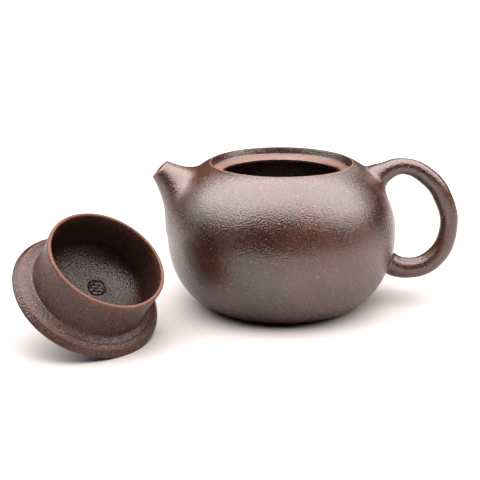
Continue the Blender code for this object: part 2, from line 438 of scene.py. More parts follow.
@dataclass(frozen=True)
class ClayFinish:
    """A finish of the fired clay.

    Colours are linear, roughness is (polished, dull), relief is the skin's depth in millimetres, and
    warm_side is where along X, in millimetres, the clay turns warm: by default beyond every piece.
    """

    name: str
    dark: Colour
    middle: Colour
    light: Colour
    roughness: tuple[float, float]
    warm: Colour = (0.082, 0.031, 0.018)
    warm_side: tuple[float, float] = (200.0, 220.0)
    # worn_and_lit: pale edge colour, for rubbed wear and for painted highlight on the pot's lid seat
    # and rim.
    worn_and_lit: Colour = (0.150, 0.058, 0.031)
    ochre_colour: Colour = (0.50, 0.17, 0.05)
    ochre: float = 0.42
    pits: float = 0.25
    peel: float = 1.0
    grit: float = 0.3
    relief: float = 0.118
    specular: float = 0.62
    index: float = 1.8
    rings: tuple[WornAndLitRing, ...] = ()
    axis: Matrix = field(default_factory=Matrix)
    tip: "TipWear | None" = None
    # shaded: the clay takes painted shade from the 'shade' attribute.
    shaded: bool = False

    def build(self, kit: ShaderKit) -> bpy.types.Material:
        """Make the material.

        Args:
            kit: The shared shader groups.

        Returns:
            The node material.
        """
        material = bpy.data.materials.new(self.name)
        material.use_nodes = True
        tree = material.node_tree
        shader = tree.nodes["Principled BSDF"]
        shader.inputs["Specular IOR Level"].default_value = self.specular
        shader.inputs["IOR"].default_value = self.index
        place = add_node(tree, "ShaderNodeTexCoord").outputs["Object"]
        across, _, _ = split(tree, place)
        cool, warm = self.warm_side
        mottle = self._group(tree, kit.mottle, {
            "Position": place, "Dark": (*self.dark, 1.0), "Middle": (*self.middle, 1.0),
            "Light": (*self.light, 1.0), "Warm": (*self.warm, 1.0),
            "Warmth": across.spread(cool * MM, warm * MM)})
        specks = self._group(tree, kit.specks, {
            "Position": place, "Ochre": self.ochre, "Pits": self.pits})
        grain = self._group(tree, kit.grain, {
            "Position": place, "Peel": self.peel, "Grit": self.grit})
        ochre, pits, speck_height = (Value(tree, socket) for socket in specks.outputs)
        colour = blend_colour(tree, ochre * 0.9, mottle.outputs[0], self.ochre_colour)
        colour = blend_colour(tree, pits * 0.6, colour, (0.03, 0.018, 0.014))
        smoothest, roughest = self.roughness
        polish = noise(tree, place, 60.0, 3.0, 0.6).spread(0.3, 0.7, smoothest, roughest)
        rough = polish + Value(tree, grain.outputs[0]) * 0.06 + pits * 0.15
        # Pale edges: rubbed wear, and painted highlight where the pot's lid seat and rim face the top
        # light.
        worn_and_lit = self._worn_and_lit(tree, kit, place)
        if worn_and_lit is not None:
            colour = blend_colour(tree, worn_and_lit * 0.85, colour, self.worn_and_lit)
            rough = rough + worn_and_lit * 0.3
        # Painted shade: the 'shade' attribute darkens the stamp's grooves and the lid's bowl towards
        # near black.
        if self.shaded:
            attribute = add_node(tree, "ShaderNodeAttribute", attribute_name="shade")
            shade = Value(tree, attribute.outputs["Fac"])
            colour = blend_colour(tree, shade * 0.9, colour, (0.004, 0.002, 0.0015))
            rough = rough + (shade - 0.6).apply("MAXIMUM", 0.0) * 1.3
        tree.links.new(colour, shader.inputs["Base Color"])
        tree.links.new(rough.socket, shader.inputs["Roughness"])
        height = Value(tree, grain.outputs[0]) + speck_height * 0.35
        bump = add_node(tree, "ShaderNodeBump", {"Height": height, "Strength": 1.0})
        bump.inputs["Distance"].default_value = self.relief * MM
        tree.links.new(bump.outputs[0], shader.inputs["Normal"])
        return material

    @staticmethod
    def _group(tree: bpy.types.NodeTree, group: bpy.types.NodeTree,
               inputs: dict[str, object]) -> bpy.types.Node:
        """Place a shared group in a material.

        Args:
            tree: The material's tree.
            group: The shared group.
            inputs: Input name to what feeds it.

        Returns:
            The group node.
        """
        node = tree.nodes.new("ShaderNodeGroup")
        node.node_tree = group
        for name, item in inputs.items():
            feed(tree, node.inputs[name], item)
        return node

    def _worn_and_lit(self, tree: bpy.types.NodeTree, kit: ShaderKit,
              place: bpy.types.NodeSocket) -> Value | None:
        """Add the masks of the pale edges: rubbed wear, and painted highlight on the pot's lid seat
        and rim.

        Args:
            tree: The material's tree.
            kit: The shared groups.
            place: Position on the piece.

        Returns:
            The strongest of the masks, or None where the finish has no edges.
        """
        masks: list[Value] = []
        if self.rings:
            turn = add_node(tree, "ShaderNodeMapping", {"Vector": place}, vector_type="TEXTURE")
            turn.inputs["Location"].default_value = self.axis.to_translation() * MM
            turn.inputs["Rotation"].default_value = self.axis.to_euler()
            for ring in self.rings:
                node = self._group(tree, kit.ring, {
                    "Position": turn.outputs[0], "Radius": ring.radius * MM,
                    "Height": ring.height * MM, "Width": ring.width * MM})
                masks.append(Value(tree, node.outputs[0]) * ring.strength)
        if self.tip is not None:
            masks.append(self.tip.mask(tree, place))
        if not masks:
            return None
        strongest = masks[0]
        for mask in masks[1:]:
            strongest = strongest.apply("MAXIMUM", mask)
        return strongest


@dataclass(frozen=True)
class TipWear:
    """The pale lip of the spout: a thin band behind a slanted plane."""

    centre: Vector
    outward: Vector
    depth: float

    def mask(self, tree: bpy.types.NodeTree, place: bpy.types.NodeSocket) -> Value:
        """Add the band's mask.

        Args:
            tree: The material's tree.
            place: Position on the piece.

        Returns:
            The mask.
        """
        shift = add_node(tree, "ShaderNodeVectorMath", {0: place}, operation="SUBTRACT")
        shift.inputs[1].default_value = self.centre * MM
        along = add_node(tree, "ShaderNodeVectorMath", {0: shift.outputs[0]},
                         operation="DOT_PRODUCT")
        along.inputs[1].default_value = self.outward
        ragged = noise(tree, place, 900.0, 2.0, 0.6) * 0.0006 - 0.0003
        behind = Value(tree, along.outputs["Value"]) * -1.0 + ragged
        return behind.spread(self.depth * MM, self.depth * 0.3 * MM)


# ---------------------------------------------------------------------------------------------
# Mesh helpers
# ---------------------------------------------------------------------------------------------


def spaced(start: float, end: float, count: int) -> list[float]:
    """Evenly spaced values, both ends included.

    Args:
        start: First value.
        end: Last value.
        count: How many.

    Returns:
        The values.
    """
    return [float(number) for number in np.linspace(start, end, count)]


def rounded(points: Sequence[tuple[float, float, float]], steps: int = 5) -> list[Point2]:
    """Round the corners of a closed outline.

    Args:
        points: Corners as (radius, height, rounding), each rounding in the outline's own unit.
        steps: Points on each rounded corner.

    Returns:
        The outline's points.
    """
    made: list[Point2] = []
    count = len(points)
    for index, (radius, height, rounding) in enumerate(points):
        corner = Vector((radius, height))
        if rounding <= 0.0:
            made.append((radius, height))
            continue
        before = Vector(points[index - 1][:2]) - corner
        after = Vector(points[(index + 1) % count][:2]) - corner
        start = corner + before.normalized() * min(rounding, before.length * 0.48)
        end = corner + after.normalized() * min(rounding, after.length * 0.48)
        for t in spaced(0.0, 1.0, steps):
            spot = start * (1 - t) ** 2 + corner * (2 * t * (1 - t)) + end * t**2
            made.append((spot.x, spot.y))
    return made


def densify(outline: Sequence[Point2], longest: float) -> list[Point2]:
    """Add points so that no side of a closed outline is longer than a limit.

    Args:
        outline: The outline's points.
        longest: The longest side allowed.

    Returns:
        The finer outline.
    """
    made: list[Point2] = []
    for (r0, z0), (r1, z1) in zip(outline, [*outline[1:], outline[0]]):
        parts = max(1, math.ceil(math.hypot(r1 - r0, z1 - z0) / longest))
        made += [(r0 + (r1 - r0) * i / parts, z0 + (z1 - z0) * i / parts) for i in range(parts)]
    return made


def turned_mesh(name: str, outline: Sequence[Point2], steps: int,
                axis: Matrix | None = None) -> bpy.types.Mesh:
    """Turn a closed outline about an axis.

    Args:
        name: The mesh's name.
        outline: Closed (radius, height) points, down the outer side first.
        steps: Number of columns.
        axis: Where the turning axis lies, in millimetres; None for the world's Z.

    Returns:
        The mesh, in metres.
    """
    form = bmesh.new()
    rings: list[list[bmesh.types.BMVert]] = []
    for radius, height in outline:
        if radius < 1e-6:
            rings.append([form.verts.new((0.0, 0.0, height))])
            continue
        angles = (math.tau * column / steps for column in range(steps))
        rings.append([form.verts.new((radius * math.cos(a), radius * math.sin(a), height))
                      for a in angles])
    for upper, lower in zip(rings, [*rings[1:], rings[0]]):
        for column in range(steps):
            ahead = (column + 1) % steps
            loop = [upper[column % len(upper)], lower[column % len(lower)],
                    lower[ahead % len(lower)], upper[ahead % len(upper)]]
            corners = list(dict.fromkeys(loop))
            if len(corners) > 2:
                form.faces.new(corners)
    bmesh.ops.transform(form, matrix=Matrix.Scale(MM, 4) @ (axis or Matrix()), verts=form.verts)
    bmesh.ops.recalc_face_normals(form, faces=form.faces)
    mesh = bpy.data.meshes.new(name)
    form.to_mesh(mesh)
    form.free()
    return mesh


def add_object(name: str, mesh: bpy.types.Mesh | bpy.types.Curve) -> bpy.types.Object:
    """Put a mesh or a curve in the scene at the origin.

    Args:
        name: The piece's name.
        mesh: Its mesh, or its curve.

    Returns:
        The object.
    """
    piece = bpy.data.objects.new(name, mesh)
    bpy.context.scene.collection.objects.link(piece)
    return piece


def baked(piece: bpy.types.Object) -> bpy.types.Object:
    """Turn an object's modifiers into its plain mesh.

    Args:
        piece: The object.

    Returns:
        The same object, with no modifier left.
    """
    bpy.context.view_layer.update()
    evaluated = piece.evaluated_get(bpy.context.evaluated_depsgraph_get())
    mesh = bpy.data.meshes.new_from_object(evaluated)
    piece.modifiers.clear()
    piece.data = mesh
    mesh.name = piece.name
    return piece


def smooth(piece: bpy.types.Object, angle: float) -> None:
    """Shade an object smooth, with its crisp edges kept.

    Args:
        piece: The object.
        angle: Edges sharper than this many degrees stay crisp.
    """
    piece.data.shade_smooth()
    piece.data.set_sharp_from_angle(angle=math.radians(angle))


# ---------------------------------------------------------------------------------------------
# The vessel
# ---------------------------------------------------------------------------------------------


@dataclass(frozen=True)
class BellyShape:
    """The turned shape of the pot: two quarter curves that meet at its widest height."""

    crown_height: float = 55.85
    crown_radius: float = 25.0
    widest_radius: float = 44.0
    widest_height: float = 28.9
    foot_radius: float = 28.1
    lower: Point2 = (2.36, 1.38)
    upper: Point2 = (1.80, 1.60)

    def point(self, u: float) -> Point2:
        """A point on the outline.

        Args:
            u: 0 at the foot's edge, 1 at the widest height, 2 at the crown, inside the mouth.

        Returns:
            Radius and height.
        """
        turn = (u if u <= 1.0 else u - 1.0) * math.pi / 2
        if u <= 1.0:
            rise = 1.0 - math.cos(turn) ** (2 / self.lower[0])
            swell = math.sin(turn) ** (2 / self.lower[1])
            radius = self.foot_radius + (self.widest_radius - self.foot_radius) * swell
            return radius, self.widest_height * rise
        rise = math.sin(turn) ** (2 / self.upper[0])
        swell = max(0.0, math.cos(turn)) ** (2 / self.upper[1])
        height = self.widest_height + (self.crown_height - self.widest_height) * rise
        return self.crown_radius + (self.widest_radius - self.crown_radius) * swell, height

    def inside(self, u: float, wall: float) -> Point2:
        """The point behind an outline point, through the wall.

        Args:
            u: Place along the outline.
            wall: Wall thickness.

        Returns:
            Radius and height.
        """
        below, above = self.point(max(0.0, u - 0.002)), self.point(min(2.0, u + 0.002))
        along = Vector((above[0] - below[0], above[1] - below[1])).normalized()
        radius, height = self.point(u)
        return radius - wall * along.y, height + wall * along.x


@dataclass
class Vessel:
    """Belly, spout, handle and mouth: one continuous clay skin."""

    shape: BellyShape = BellyShape()
    wall: float = 3.0
    floor: float = 3.5
    rim_height: float = 55.35
    rim_radius: float = 27.2
    rim_land: float = 0.3
    recess_radius: float = 26.2
    recess_depth: float = 2.6
    neck_radius: float = 22.6
    seat_depth: float = 4.1
    neck_depth: float = 5.3
    spout_tip: Vector = field(default_factory=lambda: Vector((-46.6, 0.0, 52.6)))
    spout_rise: float = 42.5
    spout_tip_radius: float = 4.2
    spout_taper: float = 0.30
    spout_flare: float = 0.019
    spout_length: float = 17.0
    spout_blend: float = 4.8
    channel_radius: float = 3.1
    channel_taper: float = 0.27
    channel_depth: float = 16.5
    handle_path: tuple[Point2, ...] = (
        (37.5, 50.4), (46.3, 53.4), (56.5, 48.7), (62.3, 40.8),
        (65.0, 29.2), (59.6, 16.4), (48.9, 12.7), (37.6, 17.3))
    handle_radii: tuple[float, ...] = (3.8, 3.1, 3.5, 3.55, 3.5, 4.05, 4.2, 4.8)
    upper_blend: float = 8.5
    lower_blend: float = 1.3
    blend_heights: Point2 = (22.0, 46.0)
    rim_margin: float = 8.0
    rim_share: float = 0.12
    voxel: float = 0.67
    outline_points: int = 240

    @property
    def spout_out(self) -> Vector:
        """The direction in which the spout points."""
        rise = math.radians(self.spout_rise)
        return Vector((-math.cos(rise), 0.0, math.sin(rise)))

    def spout_axis(self) -> Matrix:
        """The spout's own axes, in millimetres: +Z points out of its tip."""
        turn = math.radians(self.spout_rise - 90.0)
        return Matrix.Translation(self.spout_tip) @ Matrix.Rotation(turn, 4, "Y")

    def build(self, clay: bpy.types.Material) -> bpy.types.Object:
        """Grow the skin, then hollow it.

        Args:
            clay: The skin's material.

        Returns:
            The vessel.
        """
        vessel = self._handle_guide()
        modifier = vessel.modifiers.new("skin", "NODES")
        modifier.node_group = self._skin_tree()
        set_inputs(modifier, {
            "Voxel": self.voxel, "Spout Blend": self.spout_blend,
            "Upper Blend": self.upper_blend, "Lower Blend": self.lower_blend, "Clay": clay})
        baked(vessel)
        hollows = [add_object("cavity", self._cavity()), add_object("channel", self._channel())]
        for hollow in hollows:
            cutter = vessel.modifiers.new(hollow.name, "BOOLEAN")
            cutter.operation = "DIFFERENCE"
            cutter.solver = "EXACT"
            cutter.object = hollow
        baked(vessel)
        for hollow in hollows:
            bpy.data.objects.remove(hollow, do_unlink=True)
        smooth(vessel, 38.0)
        return vessel

    def _handle_guide(self) -> bpy.types.Object:
        """The handle's path as a fine polyline whose points carry its radius.

        Returns:
            The object that the skin grows on.
        """
        curve = bpy.data.curves.new("handle_path", "CURVE")
        curve.dimensions = "3D"
        curve.resolution_u = 40
        line = curve.splines.new("BEZIER")
        line.bezier_points.add(len(self.handle_path) - 1)
        for knot, (x, z) in zip(line.bezier_points, self.handle_path):
            knot.co = (x * MM, 0.0, z * MM)
            knot.handle_left_type = "AUTO"
            knot.handle_right_type = "AUTO"
        guide = add_object("handle_path", curve)
        evaluated = guide.evaluated_get(bpy.context.evaluated_depsgraph_get())
        mesh = bpy.data.meshes.new_from_object(evaluated)
        bpy.data.objects.remove(guide, do_unlink=True)
        places = np.linspace(0.0, len(self.handle_radii) - 1.0, len(mesh.vertices))
        radii = np.interp(places, range(len(self.handle_radii)), self.handle_radii)
        for _ in range(40):
            radii[1:-1] = (radii[:-2] + 2 * radii[1:-1] + radii[2:]) / 4
        mesh.attributes.new("girth", "FLOAT", "POINT").data.foreach_set("value", radii * MM)
        return add_object("vessel", mesh)

    def _skin_tree(self) -> bpy.types.NodeTree:
        """Geometry nodes that join belly, spout and handle with soft roots.

        Returns:
            The tree.
        """
        tree = bpy.data.node_groups.new("vessel skin", "GeometryNodeTree")
        face = tree.interface
        face.new_socket(name="Geometry", in_out="INPUT", socket_type="NodeSocketGeometry")
        for name in ("Voxel", "Spout Blend", "Upper Blend", "Lower Blend"):
            face.new_socket(name=name, in_out="INPUT", socket_type="NodeSocketFloat")
        face.new_socket(name="Clay", in_out="INPUT", socket_type="NodeSocketMaterial")
        face.new_socket(name="Geometry", in_out="OUTPUT", socket_type="NodeSocketGeometry")
        entry = add_node(tree, "NodeGroupInput")
        give = {socket.name: socket for socket in entry.outputs}
        metres = add_node(tree, "GeometryNodeInputPosition").outputs[0]
        scaled = add_node(tree, "ShaderNodeVectorMath", {0: metres}, operation="SCALE")
        scaled.inputs["Scale"].default_value = 1.0 / MM
        place = scaled.outputs[0]

        belly = self._belly_distance(tree, place)
        spout = self._spout_distance(tree, place)
        handle = self._handle_distance(tree, metres, give["Geometry"])
        x, y, height = split(tree, place)
        low, high = Value(tree, give["Lower Blend"]), Value(tree, give["Upper Blend"])
        soft = low + (high - low) * height.spread(*self.blend_heights)
        reach = (x * x + y * y).apply("SQRT")
        crisp = reach.spread(self.rim_radius, self.rim_radius + self.rim_margin, self.rim_share)
        soft = soft * crisp
        skin = belly.apply("SMOOTH_MIN", spout, Value(tree, give["Spout Blend"]) * crisp)
        skin = skin.apply("SMOOTH_MIN", handle, soft)
        skin = skin + self._hand_marks(tree, metres)

        low_corner = Vector((-53.0, -47.0, -2.0))
        high_corner = Vector((72.0, 47.0, 60.0))
        voxel = Value(tree, give["Voxel"])
        size = high_corner - low_corner
        counts = [(Value(tree, side) / voxel).apply("CEIL") for side in size]
        density = (skin * -0.25 + 0.5).apply("MAXIMUM", 0.0).apply("MINIMUM", 1.0)
        volume = add_node(tree, "GeometryNodeVolumeCube", {
            "Density": density, "Min": low_corner * MM, "Max": high_corner * MM,
            "Resolution X": counts[0], "Resolution Y": counts[1], "Resolution Z": counts[2]})
        mesh = add_node(tree, "GeometryNodeVolumeToMesh", {"Volume": volume.outputs[0]})
        mesh.inputs["Threshold"].default_value = 0.5
        even = add_node(tree, "GeometryNodeBlurAttribute", {"Value": metres, "Iterations": 2},
                        data_type="FLOAT_VECTOR")
        settle = add_node(tree, "GeometryNodeSetPosition", {
            "Geometry": mesh.outputs[0], "Position": even.outputs[0]})
        whole = add_node(tree, "GeometryNodeRealizeInstances", {"Geometry": settle.outputs[0]})
        clay = add_node(tree, "GeometryNodeSetMaterial", {
            "Geometry": whole.outputs[0], "Material": give["Clay"]})
        add_node(tree, "NodeGroupOutput", {"Geometry": clay.outputs[0]})
        return tree

    def _belly_distance(self, tree: bpy.types.NodeTree, place: bpy.types.NodeSocket) -> Value:
        """Signed distance to the turned belly.

        Args:
            tree: The tree.
            place: Position in millimetres.

        Returns:
            The distance, negative inside the clay.
        """
        shape = self.shape
        x, y, z = split(tree, place)
        radius = (x * x + y * y).apply("SQRT")
        count = self.outline_points
        rank = Value(tree, add_node(tree, "GeometryNodeInputIndex").outputs[0]) - 1.0
        turn = rank * (math.pi / (count - 3.0))
        upper_turn = (turn - math.pi / 2).apply("MAXIMUM", 0.0)
        lower_turn = turn.apply("MINIMUM", math.pi / 2).apply("MAXIMUM", 0.0)
        is_upper = turn.apply("GREATER_THAN", math.pi / 2)

        def quarter(angle: Value, powers: Point2, swap: bool) -> tuple[Value, Value]:
            """Rise and swell of one quarter curve.

            Args:
                angle: Turn along the quarter.
                powers: Its fullness.
                swap: True for the quarter above the widest height.

            Returns:
                Rise and swell, each from 0 to 1.
            """
            sine = angle.apply("SINE").apply("MAXIMUM", 0.0)
            cosine = angle.apply("COSINE").apply("MAXIMUM", 0.0)
            if swap:
                return sine ** (2 / powers[0]), cosine ** (2 / powers[1])
            return Value(tree, 1.0) - cosine ** (2 / powers[0]), sine ** (2 / powers[1])

        low_rise, low_swell = quarter(lower_turn, shape.lower, False)
        high_rise, high_swell = quarter(upper_turn, shape.upper, True)
        low_radius = low_swell * (shape.widest_radius - shape.foot_radius) + shape.foot_radius
        high_radius = high_swell * (shape.widest_radius - shape.crown_radius) + shape.crown_radius
        low_height = low_rise * shape.widest_height
        high_height = high_rise * (shape.crown_height - shape.widest_height) + shape.widest_height
        on_curve = rank.apply("GREATER_THAN", -0.5) * rank.apply("LESS_THAN", count - 2.5)
        reach = (low_radius + (high_radius - low_radius) * is_upper) * on_curve
        climb = low_height + (high_height - low_height) * is_upper
        line = add_node(tree, "GeometryNodeMeshLine", {"Count": count})
        bent = add_node(tree, "GeometryNodeSetPosition", {
            "Geometry": line.outputs[0], "Position": combine(tree, reach, 0.0, climb)})
        near = add_node(tree, "GeometryNodeProximity", {
            "Sample Position": combine(tree, radius, 0.0, z)}, target_element="EDGES")
        tree.links.new(bent.outputs[0], near.inputs[0])

        below = (Value(tree, shape.widest_height) - z) / shape.widest_height
        above = (z - shape.widest_height) / (shape.crown_height - shape.widest_height)
        low_cos = below.apply("MAXIMUM", 0.0) ** (shape.lower[0] / 2)
        high_sin = above.apply("MAXIMUM", 0.0) ** (shape.upper[0] / 2)
        low_sin = (Value(tree, 1.0) - low_cos * low_cos).apply("MAXIMUM", 0.0).apply("SQRT")
        high_cos = (Value(tree, 1.0) - high_sin * high_sin).apply("MAXIMUM", 0.0).apply("SQRT")
        low_edge = (low_sin ** (2 / shape.lower[1])) * (
            shape.widest_radius - shape.foot_radius) + shape.foot_radius
        high_edge = (high_cos ** (2 / shape.upper[1])) * (
            shape.widest_radius - shape.crown_radius) + shape.crown_radius
        edge = low_edge + (high_edge - low_edge) * z.apply("GREATER_THAN", shape.widest_height)
        inside = (edge - radius).apply("GREATER_THAN", 0.0) * z.apply("GREATER_THAN", 0.0)
        inside = inside * z.apply("LESS_THAN", shape.crown_height)
        return Value(tree, near.outputs["Distance"]) * (inside * -2.0 + 1.0)

    def _spout_distance(self, tree: bpy.types.NodeTree, place: bpy.types.NodeSocket) -> Value:
        """Signed distance to the trumpet of the spout.

        Args:
            tree: The tree.
            place: Position in millimetres.

        Returns:
            The distance, negative inside the clay.
        """
        shift = add_node(tree, "ShaderNodeVectorMath", {0: place}, operation="SUBTRACT")
        shift.inputs[1].default_value = self.spout_tip
        along = add_node(tree, "ShaderNodeVectorMath", {0: shift.outputs[0]},
                         operation="DOT_PRODUCT")
        along.inputs[1].default_value = -self.spout_out
        length = add_node(tree, "ShaderNodeVectorMath", {0: shift.outputs[0]}, operation="LENGTH")
        depth = Value(tree, along.outputs["Value"])
        span = Value(tree, length.outputs["Value"])
        reach = (span * span - depth * depth).apply("MAXIMUM", 0.0).apply("SQRT")
        behind = depth.apply("MAXIMUM", 0.0)
        radius = behind * self.spout_taper + behind * behind * self.spout_flare
        slope = behind * (2 * self.spout_flare) + self.spout_taper
        side = (reach - radius - self.spout_tip_radius) / (slope * slope + 1.0).apply("SQRT")
        ends = (depth * -1.0).apply("MAXIMUM", depth - self.spout_length)
        return side.apply("SMOOTH_MAX", ends, 0.5)

    def _handle_distance(self, tree: bpy.types.NodeTree, metres: bpy.types.NodeSocket,
                         path: bpy.types.NodeSocket) -> Value:
        """Signed distance to the tapering handle.

        Args:
            tree: The tree.
            metres: Position in metres.
            path: The handle's path.

        Returns:
            The distance in millimetres, negative inside the clay.
        """
        near = add_node(tree, "GeometryNodeProximity", {"Sample Position": metres},
                        target_element="EDGES")
        tree.links.new(path, near.inputs[0])
        index = add_node(tree, "GeometryNodeSampleNearest", {"Geometry": path}, domain="POINT")
        girth = add_node(tree, "GeometryNodeInputNamedAttribute", {"Name": "girth"},
                         data_type="FLOAT")
        radius = add_node(tree, "GeometryNodeSampleIndex", {
            "Geometry": path, "Value": girth.outputs[0], "Index": index.outputs[0]},
            data_type="FLOAT", domain="POINT")
        return (Value(tree, near.outputs["Distance"]) - Value(tree, radius.outputs[0])) / MM

    def _hand_marks(self, tree: bpy.types.NodeTree, metres: bpy.types.NodeSocket) -> Value:
        """Slight unevenness left by the maker's hands.

        Args:
            tree: The tree.
            metres: Position in metres.

        Returns:
            How far the skin is moved, in millimetres.
        """
        slow = noise(tree, metres, 34.0, 1.0, 0.4) * 0.5 - 0.25
        quick = noise(tree, metres, 120.0, 1.0, 0.5) * 0.14 - 0.07
        return slow + quick

    def _cavity(self) -> bpy.types.Mesh:
        """The hollow of the pot: its inside, neck, lid seat and recess.

        Returns:
            The cutter's mesh.
        """
        top = self.rim_height
        inner = [self.shape.inside(u, self.wall) for u in spaced(1.66, 0.42, 40)]
        outline = [
            (0.0, top + 5.0, 0.0),
            (self.rim_radius - self.rim_land + 1.1, top + 2.0, 0.0),
            (self.rim_radius - self.rim_land, top - 0.05, 0.0),
            (self.recess_radius, top - self.recess_depth, 0.4),
            (self.neck_radius, top - self.seat_depth, 0.3),
            (self.neck_radius, top - self.neck_depth, 0.4),
            (inner[0][0], top - self.neck_depth - 0.3, 0.6),
            *((radius, height, 0.0) for radius, height in inner),
            (24.0, self.floor, 2.0),
            (0.0, self.floor, 0.0),
        ]
        return turned_mesh("cavity", rounded(outline), 240)

    def _channel(self) -> bpy.types.Mesh:
        """The bore of the spout, open at its tip and into the pot.

        Returns:
            The cutter's mesh.
        """
        deep = self.channel_depth
        root = self.channel_radius + self.channel_taper * deep
        outline = [
            (0.0, 2.0, 0.0), (self.channel_radius + 1.2, 2.0, 0.0),
            (self.channel_radius, -0.5, 0.4), (root, -deep, 0.0), (0.0, -deep, 0.0),
        ]
        return turned_mesh("channel", rounded(outline), 96, self.spout_axis())


@dataclass
class Strainer:
    """The domed clay disc behind the spout, drilled through."""

    axis: Matrix
    radius: float = 6.6
    thickness: float = 1.3
    dome: float = 3.4
    front: float = 12.9
    shoulder: float = 14.2
    drain_radius: float = 0.72
    pitch: float = 2.1
    rings: int = 2
    drill_depth: float = 10.0

    def build(self, clay: bpy.types.Material) -> bpy.types.Object:
        """Turn the dome, then drill it.

        Args:
            clay: The strainer's material.

        Returns:
            The strainer.
        """
        angles = spaced(0.0, math.pi / 2, 14)
        outer = [(self.radius * math.cos(a), -self.shoulder - self.dome * math.sin(a))
                 for a in angles]
        bore = self.radius - self.thickness
        inner = [(bore * math.cos(a), -self.shoulder - (self.dome - self.thickness) * math.sin(a))
                 for a in reversed(angles)]
        outer[-1] = (0.0, outer[-1][1])
        inner[0] = (0.0, inner[0][1])
        outline = [*outer, *inner, (bore, -self.front), (self.radius, -self.front)]
        strainer = add_object("strainer_dome", turned_mesh("strainer_dome", outline, 72))
        modifier = strainer.modifiers.new("drill", "NODES")
        modifier.node_group = self._drill_tree()
        set_inputs(modifier, {"Drain Radius": self.drain_radius, "Pitch": self.pitch,
                              "Rings": self.rings, "Clay": clay})
        baked(strainer)
        strainer.data.transform(self._metre_axis())
        smooth(strainer, 40.0)
        return strainer

    def _metre_axis(self) -> Matrix:
        """The spout's axes with their origin in metres."""
        place = self.axis.copy()
        place.translation = place.translation * MM
        return place

    def _drill_tree(self) -> bpy.types.NodeTree:
        """Geometry nodes that drill a middle hole and rings of holes about it.

        Returns:
            The tree.
        """
        tree = bpy.data.node_groups.new("strainer drill", "GeometryNodeTree")
        face = tree.interface
        face.new_socket(name="Geometry", in_out="INPUT", socket_type="NodeSocketGeometry")
        face.new_socket(name="Drain Radius", in_out="INPUT", socket_type="NodeSocketFloat")
        face.new_socket(name="Pitch", in_out="INPUT", socket_type="NodeSocketFloat")
        face.new_socket(name="Rings", in_out="INPUT", socket_type="NodeSocketInt")
        face.new_socket(name="Clay", in_out="INPUT", socket_type="NodeSocketMaterial")
        face.new_socket(name="Geometry", in_out="OUTPUT", socket_type="NodeSocketGeometry")
        give = {s.name: s for s in add_node(tree, "NodeGroupInput").outputs}
        rings = Value(tree, give["Rings"])
        count = rings * (rings + 1.0) * 3.0 + 1.0
        rank = Value(tree, add_node(tree, "GeometryNodeInputIndex").outputs[0])
        ring = ((rank * 12.0 - 3.0).apply("MAXIMUM", 0.0).apply("SQRT") / 6.0 + 0.5)
        ring = ring.apply("FLOOR").apply("MINIMUM", rings) * rank.apply("GREATER_THAN", 0.5)
        first = ring * (ring - 1.0) * 3.0 + 1.0
        angle = (rank - first) * (math.tau / 6.0) / ring.apply("MAXIMUM", 1.0)
        reach = ring * Value(tree, give["Pitch"]) * MM
        spot = combine(tree, angle.apply("COSINE") * reach, angle.apply("SINE") * reach,
                       -(self.shoulder + 0.3) * MM)
        points = add_node(tree, "GeometryNodeMeshLine", {"Count": count})
        placed = add_node(tree, "GeometryNodeSetPosition", {
            "Geometry": points.outputs[0], "Position": spot})
        drill = add_node(tree, "GeometryNodeMeshCylinder", {
            "Vertices": 20, "Radius": Value(tree, give["Drain Radius"]) * MM,
            "Depth": self.drill_depth * MM})
        drills = add_node(tree, "GeometryNodeInstanceOnPoints", {
            "Points": placed.outputs[0], "Instance": drill.outputs[0]})
        solid = add_node(tree, "GeometryNodeRealizeInstances", {"Geometry": drills.outputs[0]})
        cut = add_node(tree, "GeometryNodeMeshBoolean", operation="DIFFERENCE", solver="EXACT")
        tree.links.new(give["Geometry"], cut.inputs[0])
        tree.links.new(solid.outputs[0], cut.inputs[1])
        whole = add_node(tree, "GeometryNodeRealizeInstances", {"Geometry": cut.outputs[0]})
        clay = add_node(tree, "GeometryNodeSetMaterial", {
            "Geometry": whole.outputs[0], "Material": give["Clay"]})
        add_node(tree, "NodeGroupOutput", {"Geometry": clay.outputs[0]})
        return tree


# ---------------------------------------------------------------------------------------------
# The lid
# ---------------------------------------------------------------------------------------------


@dataclass(frozen=True)
class Stamp:
    """A small round stamp pressed into the lid's floor, beside the vent hole."""

    centre: Point2
    radius: float = 3.1
    depth: float = 0.6
    pattern: Seal = Seal.LATTICE

    def press(self, x: np.ndarray, y: np.ndarray) -> np.ndarray:
        """How deep the stamp goes at each place.

        Args:
            x: Places across the lid.
            y: Places along the lid.

        Returns:
            Share of the full depth, 0 to 1.
        """
        u, v = x - self.centre[0], y - self.centre[1]
        reach = np.hypot(u, v)

        def line(distance: np.ndarray, width: float) -> np.ndarray:
            """A soft-edged groove about a zero distance."""
            return np.clip(1.5 - np.abs(distance) / width, 0.0, 1.0)

        rim = line(reach - self.radius, 0.2)
        if self.pattern is Seal.RINGS:
            fill = line(np.mod(reach, 1.1) - 0.55, 0.14)
        else:
            turned_u, turned_v = u * 0.87 - v * 0.5, u * 0.5 + v * 0.87
            bars = line(np.mod(turned_u + 0.45, 1.3) - 0.65, 0.14)
            steps = line(np.mod(turned_v + 0.2, 1.25) - 0.62, 0.14)
            broken = np.sin(turned_u * 2.4) * np.cos(turned_v * 2.9) > -0.25
            fill = np.maximum(bars * broken, steps * ~broken)
        fill = fill * (reach < self.radius - 0.35)
        return np.maximum(rim, fill)


